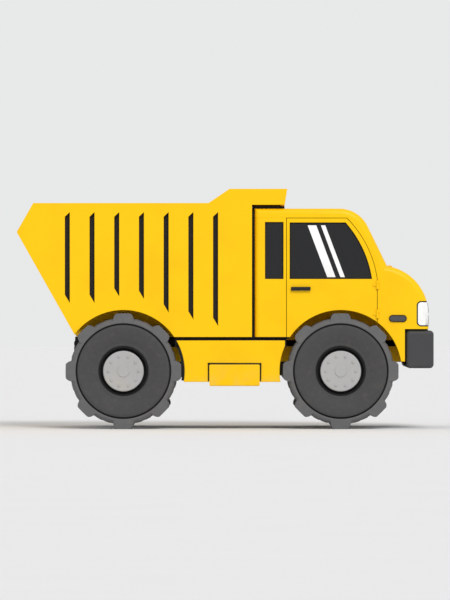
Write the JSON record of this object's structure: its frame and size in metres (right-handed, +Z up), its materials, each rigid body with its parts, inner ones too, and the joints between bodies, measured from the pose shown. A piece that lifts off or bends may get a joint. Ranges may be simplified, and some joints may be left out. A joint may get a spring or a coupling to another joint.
{
  "type": "rigid dump truck",
  "caption": "Two-axle tipping truck: short-nosed cab, ribbed steel bed with a canopy over the cab, big lugged tyres.",
  "frame": {"origin": "on the ground, under the middle of the truck's length and width", "axes": "+X forward, +Y to the truck's left, +Z up"},
  "size_m": [5.84, 2.6, 3.363],
  "materials": {
    "body_paint": "satin",
    "bed_paint": "satin",
    "liner_paint": "matt",
    "frame_paint": "matt",
    "bumper_paint": "satin",
    "cast": "matt",
    "rod_chrome": "polished",
    "rim_paint": "satin",
    "tyre": "matt",
    "dark_plastic": "matt",
    "window": "smooth",
    "lamp": "smooth",
    "marker": "gloss",
    "red_lens": "gloss",
    "seat_fabric": "woven"
  },
  "bodies": {
    "chassis": {"frame_rails": "frame_paint", "frame_cross_members": "frame_paint", "frame_outriggers": "frame_paint", "leaf_springs": "cast", "rear_axle": "cast", "front_axle": "cast", "engine": "cast", "drive_shaft": "cast", "cab_roof": "body_paint", "nose_panel": "body_paint", "cab_rear": "body_paint", "windscreen_frame": "body_paint", "cab_floor": "frame_paint", "cab_windows": "window", "grille": "dark_plastic", "headlamps": "lamp", "side_markers": "marker", "dashboard": "dark_plastic", "steering_wheel": "dark_plastic", "seats": "seat_fabric", "side_skirts": "body_paint", "side_boxes": "body_paint", "bumper": "bumper_paint", "tail_lamps": "red_lens"},
    "bed": {"bed_side_panels": "bed_paint", "bed_side_liners": "liner_paint", "bed_floor": "bed_paint", "bed_front_wall": "bed_paint", "bed_canopy": "bed_paint", "bed_tail_wall": "bed_paint", "bed_runners": "frame_paint", "bed_cross_members": "frame_paint"},
    "hoist_barrels": {"hoist_barrels": "bumper_paint"},
    "hoist_rods": {"hoist_rods": "rod_chrome"},
    "bonnet": {"bonnet": "body_paint"},
    "door_left": {"door_left": "body_paint", "door_glass_left": "window", "door_handle_left": "dark_plastic"},
    "door_right": {"door_right": "body_paint", "door_glass_right": "window", "door_handle_right": "dark_plastic"},
    "knuckle_left": {"knuckle_left": "cast"},
    "knuckle_right": {"knuckle_right": "cast"},
    "tie_rod": {"tie_rod": "cast"},
    "wheel_front_left": {"tyre_front_left": "tyre", "rim_front_left": "rim_paint"},
    "wheel_front_right": {"tyre_front_right": "tyre", "rim_front_right": "rim_paint"},
    "wheel_rear_left": {"tyre_rear_left": "tyre", "rim_rear_left": "rim_paint"},
    "wheel_rear_right": {"tyre_rear_right": "tyre", "rim_rear_right": "rim_paint"}
  },
  "joints": [
    {"name": "bed_tip", "type": "hinge", "parent": "chassis", "child": "bed", "pos_m": [-2.06, 0, 1.19], "axis": [0, -1, 0], "range_deg": [0, 55]},
    {"name": "hoist_swing", "type": "hinge", "parent": "chassis", "child": "hoist_barrels", "pos_m": [0.2, 0, 0.8], "axis": [0, 1, 0], "range_deg": [0, 16.6]},
    {"name": "hoist_slide", "type": "slide", "parent": "hoist_barrels", "child": "hoist_rods", "axis": [-0.9584, 0, 0.2854], "range_m": [0, 0.675]},
    {"name": "bonnet_lift", "type": "hinge", "parent": "chassis", "child": "bonnet", "pos_m": [2.314, 0, 2.287], "axis": [0, -1, 0], "range_deg": [0, 55]},
    {"name": "door_left_swing", "type": "hinge", "parent": "chassis", "child": "door_left", "pos_m": [2.129, 1.268, 1.8], "axis": [0, 0, -1], "range_deg": [0, 70]},
    {"name": "door_right_swing", "type": "hinge", "parent": "chassis", "child": "door_right", "pos_m": [2.129, -1.268, 1.8], "axis": [0, 0, 1], "range_deg": [0, 70]},
    {"name": "steer_left", "type": "hinge", "parent": "chassis", "child": "knuckle_left", "pos_m": [1.617, 0.96, 0.81], "axis": [0, 0, 1], "range_deg": [-30, 30]},
    {"name": "steer_right", "type": "hinge", "parent": "chassis", "child": "knuckle_right", "pos_m": [1.617, -0.96, 0.81], "axis": [0, 0, 1], "range_deg": [-30, 30]},
    {"name": "tie_rod_slide", "type": "slide", "parent": "chassis", "child": "tie_rod", "axis": [0, 1, 0], "range_m": [-0.0905, 0.0905]},
    {"name": "wheel_front_left_spin", "type": "hinge", "parent": "knuckle_left", "child": "wheel_front_left", "pos_m": [1.617, 1.06, 0.81], "axis": [0, 1, 0], "continuous": true},
    {"name": "wheel_front_right_spin", "type": "hinge", "parent": "knuckle_right", "child": "wheel_front_right", "pos_m": [1.617, -1.06, 0.81], "axis": [0, 1, 0], "continuous": true},
    {"name": "wheel_rear_left_spin", "type": "hinge", "parent": "chassis", "child": "wheel_rear_left", "pos_m": [-1.425, 1.06, 0.81], "axis": [0, 1, 0], "continuous": true},
    {"name": "wheel_rear_right_spin", "type": "hinge", "parent": "chassis", "child": "wheel_rear_right", "pos_m": [-1.425, -1.06, 0.81], "axis": [0, 1, 0], "continuous": true}
  ],
  "couplings": [
    {"joint": "hoist_swing", "follows": "bed_tip", "ratio": 0.29658},
    {"joint": "hoist_slide", "follows": "bed_tip", "m_per_rad": 0.70043},
    {"joint": "steer_right", "follows": "steer_left", "ratio": 1},
    {"joint": "tie_rod_slide", "follows": "steer_left", "m_per_rad": -0.172}
  ]
}
